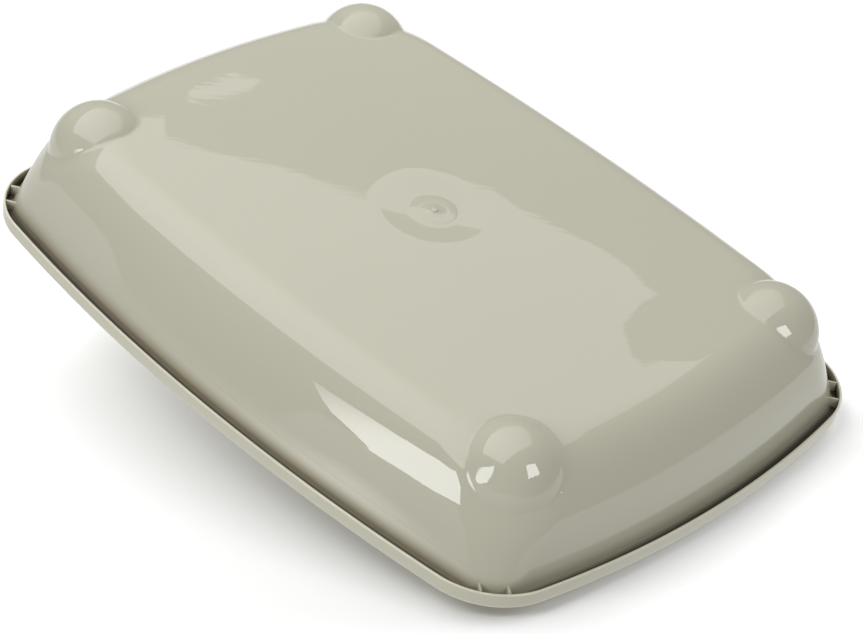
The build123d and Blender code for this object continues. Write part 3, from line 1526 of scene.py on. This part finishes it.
    def build(self, material: bpy.types.Material) -> bpy.types.Object:
        """Make the rim.

        Args:
            material: Its material.

        Returns:
            The piece.
        """
        size = self.sizes
        outline, outline_in = self.rail(size.rim_plan(0))
        mouth, mouth_in = self.rail(size.pan_plan(size.lip_bottom, size.pan_wall, size.lip_gap))
        section = np.array(self.section())
        # Painted shade: the skirt's inner faces below the flange take the full groove shade.
        inside = section[:, 0] > size.skirt_thickness - self.support
        groove_shaded = inside & (section[:, 1] > self.support) & (section[:, 2] == 0)
        section_mesh = points_mesh(
            "rim_section",
            np.column_stack([section[:, 0], -section[:, 1], np.zeros(len(section))]),
            round_loop(len(section)),
            {
                "inset": section[:, 0],
                "drop": section[:, 1],
                "rail": section[:, 2],
                "groove": groove_shaded.astype(float),
            },
        )
        holder = link_mesh("rim_section", section_mesh)
        rails = points_mesh(
            "rim_rails",
            outline,
            round_loop(len(outline)),
            {
                "outline": outline,
                "outline_inwards": outline_in,
                "mouth": mouth,
                "mouth_inwards": mouth_in,
            },
        )
        values = {"Section": holder, "Rim top": size.rim_top, "Material": material}
        piece = self.tree().apply("tray_rim", rails, values)
        bpy.data.objects.remove(holder)
        face_outwards(piece.data)
        return piece


def face_outwards(mesh: bpy.types.Mesh) -> None:
    """Turn the faces of a closed mesh outwards.

    Args:
        mesh: The mesh.
    """
    shape = bmesh.new()
    shape.from_mesh(mesh)
    if shape.calc_volume(signed=True) < 0:
        bmesh.ops.reverse_faces(shape, faces=shape.faces)
    shape.to_mesh(mesh)
    shape.free()


@dataclass
class CornerWebs:
    """Eight thin webs in the channel, two at each corner, from the wall to near the skirt.

    Attributes:
        sizes: Sizes of the tray.
        thickness: Thickness of a web.
        turn: Direction of the webs of a corner from the tray's length.
        offset: Distance of a web from the line between the two of its corner.
        line_x: Place along X of a point on that line, and line_y its place along Y.
        recess: How far the webs' edge lies behind the skirt's.
        edge_round: Round of the webs' edges.
        bite: How deep the webs reach into the wall.
        nearest: Distance along the line at which the search for an outline starts.
        farthest: Distance at which it ends.
        halvings: Number of halvings by which the place is found.
    """

    sizes: TraySizes
    thickness: float = 1.4 * MM
    turn: float = math.radians(35.5)
    offset: float = 8.2 * MM
    line_x: float = 224.4 * MM
    line_y: float = 156.3 * MM
    recess: float = 0.2 * MM
    edge_round: float = 0.3 * MM
    bite: float = 0.2 * MM
    nearest: float = -30 * MM
    farthest: float = 60 * MM
    halvings: int = 30

    def crossing(self, start: np.ndarray, way: np.ndarray, plan: Barrel) -> float:
        """Distance along a line at which it leaves an outline.

        Args:
            start: A point of the line.
            way: The line's direction.
            plan: The outline.

        Returns:
            The distance from the point.
        """
        near, far = self.nearest, self.farthest
        for _ in range(self.halvings):
            middle = (near + far) / 2
            point = start + way * middle
            if plan.holds(point[0], point[1]):
                near = middle
            else:
                far = middle
        return near

    def places(self) -> tuple[np.ndarray, np.ndarray, np.ndarray]:
        """Where the webs stand.

        Returns:
            Middle, turn and length of each web.
        """
        size = self.sizes
        bottom = size.skirt_edge + self.recess
        top = size.pan_top - size.ledge_thickness / 2
        middles, turns, lengths = [], [], []
        for sign_x in (-1, 1):
            for sign_y in (-1, 1):
                for side in (-1, 1):
                    angle = sign_x * sign_y * self.turn
                    way = np.array([math.cos(angle), math.sin(angle)]) * sign_x
                    aside = np.array([-math.sin(angle), math.cos(angle)]) * side * self.offset
                    start = np.array([sign_x * self.line_x, sign_y * self.line_y]) + aside
                    inner = self.crossing(start, way, size.pan_plan(bottom, self.bite))
                    outer = self.crossing(start, way, size.rim_plan(size.skirt_thickness + size.ledge_gap))
                    middle = start + way * (inner + outer) / 2
                    middles.append((*middle, (bottom + top) / 2))
                    turns.append(angle)
                    lengths.append(outer - inner)
        return np.array(middles), np.array(turns), np.array(lengths)

    def tree(self) -> GeometryTree:
        """Tree that puts a plate with rounded edges on each point.

        Returns:
            The tree.
        """
        kinds = {
            "Thickness": "NodeSocketFloat",
            "Height": "NodeSocketFloat",
            "Edge round": "NodeSocketFloat",
            "Material": "NodeSocketMaterial",
        }
        made = GeometryTree("corner_webs", kinds)
        section = made.node(
            "GeometryNodeCurvePrimitiveQuadrilateral",
            inputs={"Width": made.entry.outputs["Thickness"], "Height": made.entry.outputs["Height"]},
        )
        rounded = made.node(
            "GeometryNodeFilletCurve",
            {"mode": "POLY"},
            {"Curve": section.outputs[0], "Count": 3, "Radius": made.entry.outputs["Edge round"]},
        )
        line = made.node("GeometryNodeCurvePrimitiveLine", inputs={"Start": (-0.5, 0, 0), "End": (0.5, 0, 0)})
        plate = made.node(
            "GeometryNodeCurveToMesh",
            inputs={"Curve": line.outputs[0], "Profile Curve": rounded.outputs[0], "Fill Caps": True},
        )
        turned = made.node("ShaderNodeCombineXYZ", inputs={"Z": made.named("turn")})
        length = made.node("ShaderNodeCombineXYZ", inputs={"X": made.named("length"), "Y": 1.0, "Z": 1.0})
        webs = made.node(
            "GeometryNodeInstanceOnPoints",
            inputs={
                "Points": made.entry.outputs["Geometry"],
                "Instance": plate.outputs[0],
                "Rotation": turned.outputs[0],
                "Scale": length.outputs[0],
            },
        )
        made.finish(webs.outputs[0])
        return made

    def build(self, material: bpy.types.Material) -> bpy.types.Object:
        """Make the webs.

        Args:
            material: Their material.

        Returns:
            The piece.
        """
        size = self.sizes
        middles, turns, lengths = self.places()
        height = size.pan_top - size.ledge_thickness / 2 - size.skirt_edge - self.recess
        values = {
            "Thickness": self.thickness,
            "Height": height,
            "Edge round": self.edge_round,
            "Material": material,
        }
        points = points_mesh("web_points", middles, [], {"turn": turns, "length": lengths})
        return self.tree().apply("corner_webs", points, values)


# Studio


@dataclass
class PhotoCamera:
    """Camera of the photograph, found from the rim's outline, the feet and the gate mark.

    Attributes:
        place: Where it stands.
        forward: The way it looks.
        upward: The way that is up in the picture.
        focal_pixels: Focal length, in pixels of the picture.
        clip_start: Nearest distance that it sees.
        clip_end: Farthest distance that it sees.
    """

    place: Point = (-0.829150, -1.000446, -0.899246)
    forward: Point = (0.502268, 0.616512, 0.606314)
    upward: Point = (0.522238, 0.342550, -0.780985)
    focal_pixels: float = 2554.55
    clip_start: float = 0.05
    clip_end: float = 50.0

    def build(self) -> bpy.types.Object:
        """Make the camera and hand it to the scene.

        Returns:
            The camera.
        """
        data = bpy.data.cameras.new("photo_camera")
        data.sensor_width = SENSOR_WIDTH
        data.lens = self.focal_pixels / IMAGE_WIDTH * SENSOR_WIDTH
        data.clip_start = self.clip_start
        data.clip_end = self.clip_end
        camera = bpy.data.objects.new("photo_camera", data)
        bpy.context.scene.collection.objects.link(camera)
        forward = Vector(self.forward).normalized()
        right = forward.cross(Vector(self.upward)).normalized()
        up = right.cross(forward)
        turn = Matrix((right, up, -forward)).transposed()
        camera.matrix_world = Matrix.Translation(self.place) @ turn.to_4x4()
        bpy.context.scene.camera = camera
        return camera


@dataclass(frozen=True)
class Softbox:
    """Rectangular lamp that faces a point.

    Attributes:
        name: Name of the lamp.
        place: Its middle.
        target: The point that it faces.
        width: Size across.
        height: Size up.
        radiance: Brightness of its face, where 1 is white.
    """

    name: str
    place: Point
    target: Point
    width: float
    height: float
    radiance: float

    def build(self, lit: Sequence[bpy.types.Object]) -> bpy.types.Object:
        """Make the lamp. It has no mirror image in the gloss.

        Args:
            lit: The only objects that it lights.

        Returns:
            The lamp.
        """
        data = bpy.data.lights.new(self.name, "AREA")
        data.shape = "RECTANGLE"
        data.size, data.size_y = self.width, self.height
        data.energy = self.radiance * math.pi * self.width * self.height
        lamp = bpy.data.objects.new(self.name, data)
        bpy.context.scene.collection.objects.link(lamp)
        way = Vector(self.target) - Vector(self.place)
        lamp.rotation_mode = "QUATERNION"
        lamp.rotation_quaternion = way.to_track_quat("-Z", "Y")
        lamp.location = self.place
        lamp.visible_camera = False
        lamp.visible_glossy = False
        receivers = bpy.data.collections.new(f"{self.name}_lights")
        for thing in lit:
            receivers.objects.link(thing)
        lamp.light_linking.receiver_collection = receivers
        return lamp


@dataclass(frozen=True)
class TableLight:
    """Light on the table from one direction, which sets the shadow that the tray throws.

    Attributes:
        name: Name of the lamp.
        azimuth: Direction round the table, in degrees: 0 is the raised side, 90 the tray's +Y.
        elevation: Height above the table, in degrees.
        half_width: Half its width over its distance.
        half_height: Half its height over its distance.
        radiance: Brightness of its face, where 1 is white.
    """

    name: str
    azimuth: float
    elevation: float
    half_width: float
    half_height: float
    radiance: float


@dataclass
class Studio:
    """Lamps, overhead panel, floor and table. The tray is turned over in the photograph.

    Attributes:
        sizes: Sizes of the tray.
        surround: Brightness of the soft light from all round, where 1 is white.
        tray_lights: The lamps of the tray, which face its middle.
        panel_height: Height of the panel that the tray's base mirrors, and panel_corners its outline.
        sliver_corners: Outline of a narrow gap of light beside the panel.
        panel_radiance: Brightness of the panel's far part, and panel_near_radiance of its near part.
        room_half: Half width of the dim room, and room_top the height of its ceiling, turned over too.
        room_end_foot: Height at which the walls at the ends and the back stop.
        room_front_dip: Place along X and height of the lowest point of the front wall's foot.
        room_front_foot: Height of that wall's foot at its end.
        room_radiance: Brightness of the room.
        front_corners: Outline of the softbox in front, and front_radiance its brightness.
        front_tip_radiance: Brightness of that softbox at its far end.
        front_fade: Places along X between which it falls to that.
        end_corners: Outline of the softbox at the end, and end_radiance its brightness.
        sky_height: Height of the lamp over the floor, sky_size its size, sky_radiance its brightness.
        floor_half: Half size of the floor, and floor_fade where it fades out.
        table_tilt: Tilt of the table from the tray's own base plane, in radians.
        table_half: Half size of the table, and table_fade where it fades out.
        table_albedo: Reflectance of the table.
        table_lamp_distance: Distance of the table's lamps from its middle.
        table_lights: The lamps of the table, by direction.
    """

    sizes: TraySizes
    surround: float = 0.50
    tray_lights: tuple[Softbox, ...] = (
        Softbox("front_light", (0.1, -0.95, -0.35), TRAY_MIDDLE, 0.55, 0.45, 5.2),
        Softbox("end_light", (-0.95, 0.0, -0.50), TRAY_MIDDLE, 0.50, 0.50, 3.0),
        Softbox("overhead_light", (0.85, 0.55, -0.95), TRAY_MIDDLE, 0.9, 0.9, 4.95),
        Softbox("mouth_light", (-0.3, -0.5, 1.8), TRAY_MIDDLE, 1.8, 1.8, 2.0),
    )
    panel_height: float = -1.0
    panel_corners: tuple[tuple[float, float], ...] = (
        (1.45, 0.80), (1.284, 0.922), (1.277, 0.949), (1.235, 0.914), (1.185, 0.942), (1.113, 0.993),
        (1.036, 1.031), (0.986, 1.056), (1.010, 1.133), (0.960, 1.179), (0.894, 1.208), (0.759, 1.242),
        (0.690, 1.247), (0.648, 1.230), (0.625, 1.231), (0.627, 1.202), (0.612, 1.142), (0.565, 1.107),
        (0.542, 1.103), (0.530, 1.139), (0.40, 1.16), (0.05, 0.90), (-0.30, 0.55), (-0.30, -1.00),
        (1.45, -1.30),
    )
    sliver_corners: tuple[tuple[float, float], ...] = (
        (1.284, 0.995), (1.302, 1.014), (1.303, 1.059), (1.306, 1.098), (1.293, 1.101), (1.275, 1.121),
        (1.267, 1.091), (1.268, 1.056),
    )
    panel_radiance: float = 1.4
    panel_near_radiance: float = 2.9
    room_half: float = 2.5
    room_top: float = -2.0
    room_end_foot: float = 0.40
    room_front_dip: tuple[float, float] = (0.30, 0.215)
    room_front_foot: float = 0.69
    room_radiance: float = 0.35
    front_corners: tuple[Point, ...] = (
        (0.365, -0.925, -0.190), (0.260, -0.925, -0.265), (0.155, -0.922, -0.345), (0.050, -0.925, -0.450),
        (-0.060, -0.940, -0.590), (-0.165, -0.860, -0.300), (-0.150, -0.800, 0.000), (0.054, -0.797, 0.165),
        (0.164, -0.820, 0.155), (0.257, -0.857, 0.055),
    )
    end_corners: tuple[Point, ...] = (
        (-0.540, -0.165, -0.445), (-0.726, 0.088, -0.586), (-1.168, 0.200, -0.460), (-0.913, -0.260, -0.360),
    )
    front_radiance: float = 8.6
    front_tip_radiance: float = 2.5
    front_fade: tuple[float, float] = (0.16, 0.37)
    end_radiance: float = 9.0
    sky_height: float = 1.3
    sky_size: float = 6.0
    sky_radiance: float = 0.7
    floor_half: float = 1.6
    floor_fade: tuple[float, float] = (0.3, 0.95)
    table_tilt: float = math.radians(12.26)
    table_half: float = 0.75
    table_fade: tuple[float, float] = (0.45, 0.8)
    table_albedo: float = 0.5
    table_lamp_distance: float = 3.0
    table_lights: tuple[TableLight, ...] = (
        TableLight("table_side", 101.8, 16.5, 0.73, 0.27, 16.3),
        TableLight("table_key", 296.9, 45.8, 0.16, 0.33, 11.2),
        TableLight("table_fill", -2.9, 47.3, 0.47, 0.67, 5.1),
    )

    def floor_sky(self) -> Softbox:
        """Wide lamp over the floor, which it lights alone."""
        above, size = (0.0, 0.0, self.sky_height), self.sky_size
        return Softbox("floor_sky", above, (0.0, 0.0, 0.0), size, size, self.sky_radiance)

    def table_lamps(self, table: bpy.types.Object) -> list[Softbox]:
        """Lamps of the table, which they light alone.

        Args:
            table: The sheet of the table, whose own Y runs against the tray's.

        Returns:
            The lamps.
        """
        middle = table.matrix_world.translation
        turn = table.matrix_world.to_3x3()
        far = self.table_lamp_distance
        made = []
        for light in self.table_lights:
            round_angle, rise = math.radians(light.azimuth), math.radians(light.elevation)
            flat = math.cos(rise)
            own_way = (flat * math.cos(round_angle), -flat * math.sin(round_angle), math.sin(rise))
            way = turn @ Vector(own_way)
            width, height = 2 * far * light.half_width, 2 * far * light.half_height
            place = tuple(middle + way * far)
            made.append(Softbox(light.name, place, tuple(middle), width, height, light.radiance))
        return made

    def card(
        self,
        finish: CardLight,
        corners: Sequence[Point],
        faces: Sequence[tuple[int, ...]] | None = None,
    ) -> bpy.types.Object:
        """Card that shows only in the tray's gloss.

        Args:
            finish: Its name and its glow.
            corners: Its corners, in order.
            faces: Its faces, if it has more than one.

        Returns:
            The card.
        """
        mesh = bpy.data.meshes.new(finish.name)
        mesh.from_pydata(corners, [], faces or [tuple(range(len(corners)))])
        mesh.materials.append(finish.build())
        made = link_mesh(finish.name, mesh)
        made.visible_camera = False
        made.visible_diffuse = False
        made.visible_transmission = False
        made.visible_shadow = False
        return made

    def room(self) -> bpy.types.Object:
        """Dim room round the tray, open at the table, as its gloss mirrors it.

        Returns:
            The room.
        """
        signs = ((-1, -1), (1, -1), (1, 1), (-1, 1))
        half, end_foot = self.room_half, self.room_end_foot
        dip_x, dip_foot = self.room_front_dip
        corners = [(sx * half, sy * half, self.room_top) for sx, sy in signs]
        corners += [(-half, -half, end_foot), (dip_x, -half, dip_foot)]
        corners += [(half, -half, self.room_front_foot), (half, half, end_foot), (-half, half, end_foot)]
        faces = [(0, 1, 2, 3), (0, 4, 5, 6, 1), (1, 6, 7, 2), (2, 7, 8, 3), (3, 8, 4, 0)]
        return self.card(CardLight("dim_room", self.room_radiance), corners, faces)

    def sheet(self, name: str, finish: StageSheet) -> bpy.types.Object:
        """Flat square sheet in its own plane, facing up.

        Args:
            name: Name of the sheet.
            finish: Its finish, which holds its half size.

        Returns:
            The sheet.
        """
        mesh = bpy.data.meshes.new(name)
        half = finish.half
        corners = [(-half, -half, 0), (half, -half, 0), (half, half, 0), (-half, half, 0)]
        mesh.from_pydata(corners, [], [(0, 1, 2, 3)])
        mesh.materials.append(finish.build())
        made = link_mesh(name, mesh)
        made.visible_shadow = False
        made.visible_diffuse = False
        made.visible_glossy = False
        return made

    def build(self, pieces: Sequence[bpy.types.Object]) -> None:
        """Make the whole studio.

        Args:
            pieces: The pieces of the tray.
        """
        for lamp in self.tray_lights:
            lamp.build(pieces)
        panel = [(x, y, self.panel_height) for x, y in self.panel_corners]
        self.card(CardLight("overhead_panel", self.panel_radiance, self.panel_near_radiance), panel)
        sliver = [(x, y, self.panel_height) for x, y in self.sliver_corners]
        self.card(CardLight("overhead_sliver", self.panel_radiance), sliver)
        tip, body = self.front_tip_radiance, self.front_radiance
        self.card(CardLight("front_softbox", tip, body, "X", *self.front_fade), self.front_corners)
        self.card(CardLight("end_softbox", self.end_radiance), self.end_corners)
        self.room()
        floor = self.sheet("floor", StageSheet("floor_paper", self.floor_half, *self.floor_fade))
        finish = StageSheet("table_paper", self.table_half, *self.table_fade, self.table_albedo, 0.0)
        table = self.sheet("table", finish)
        pivot = Vector((-self.sizes.half_x, 0, self.sizes.rim_top))
        turned = Matrix.Rotation(-self.table_tilt, 4, "Y") @ Matrix.Rotation(math.pi, 4, "X")
        aside = Matrix.Translation((self.sizes.half_x, 0, 0))
        table.matrix_world = Matrix.Translation(pivot) @ turned @ aside
        self.floor_sky().build([floor])
        for lamp in self.table_lamps(table):
            lamp.build([table])
        self.world()

    def world(self) -> None:
        """White to the camera and in the gloss, and a soft grey surround to everything else."""
        world = bpy.data.worlds.new("studio")
        bpy.context.scene.world = world
        world.use_nodes = True
        paint = Painter(world.node_tree)
        path = paint.node("ShaderNodeLightPath")
        camera = paint.wire(path, "Is Camera Ray")
        glossy = paint.wire(path, "Is Glossy Ray")
        through = paint.wire(path, "Is Transmission Ray")
        white = (camera + glossy + through).clamped()
        tone = paint.mix_colour(white, (*[self.surround] * 3, 1.0), WHITE)
        back = paint.node("ShaderNodeBackground", inputs={"Color": tone, "Strength": 1.0})
        paint.node("ShaderNodeOutputWorld", inputs={"Surface": back.outputs[0]})


WARM_GREY = (0.470, 0.4575, 0.364)
PAN_PLASTIC = MouldedPlastic("pan_plastic", WARM_GREY)
# The rim takes a painted highlight on its skirt's edge, and painted groove shade from near the skirt's edge
# up.
RIM_PLASTIC = MouldedPlastic("rim_plastic", WARM_GREY, roughness=0.12, edge_highlight_gain=1.35, groove_shade_start=0.1)


def place_piece(piece: bpy.types.Object, body: Body, slot: Slot, *nodes: str) -> None:
    """Ride a piece on a body and hide the frame nodes that it stands for.

    Args:
        piece: The piece.
        body: Body that it moves with.
        slot: Material slot that its finish comes from; not used.
        nodes: Frame nodes that it replaces.
    """
    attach(piece, body.value)
    if nodes:
        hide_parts(*nodes)
    triangles = sum(len(face.vertices) - 2 for face in piece.data.polygons)
    LOG.info("%s rides on %s: %d triangles", piece.name, body.value, triangles)


def main() -> None:
    """Build the tray and its studio."""
    logging.basicConfig(level=logging.INFO, format="%(name)s: %(message)s")
    scene = bpy.context.scene
    scene.view_settings.view_transform = "Standard"
    sizes = TraySizes.from_frame()
    PhotoCamera().build()
    pan_plastic = PAN_PLASTIC.build(sizes)
    rim_plastic = RIM_PLASTIC.build(sizes)
    pan = PanShell(sizes).build(pan_plastic)
    place_piece(pan, Body.PAN, Slot.PAN, "pan")
    webs = CornerWebs(sizes).build(pan_plastic)
    place_piece(webs, Body.PAN, Slot.PAN)
    rim = RimFrame(sizes).build(rim_plastic)
    place_piece(rim, Body.RIM, Slot.RIM, "rim")
    Studio(sizes).build((pan, webs, rim))


if __name__ == "__main__":
    main()
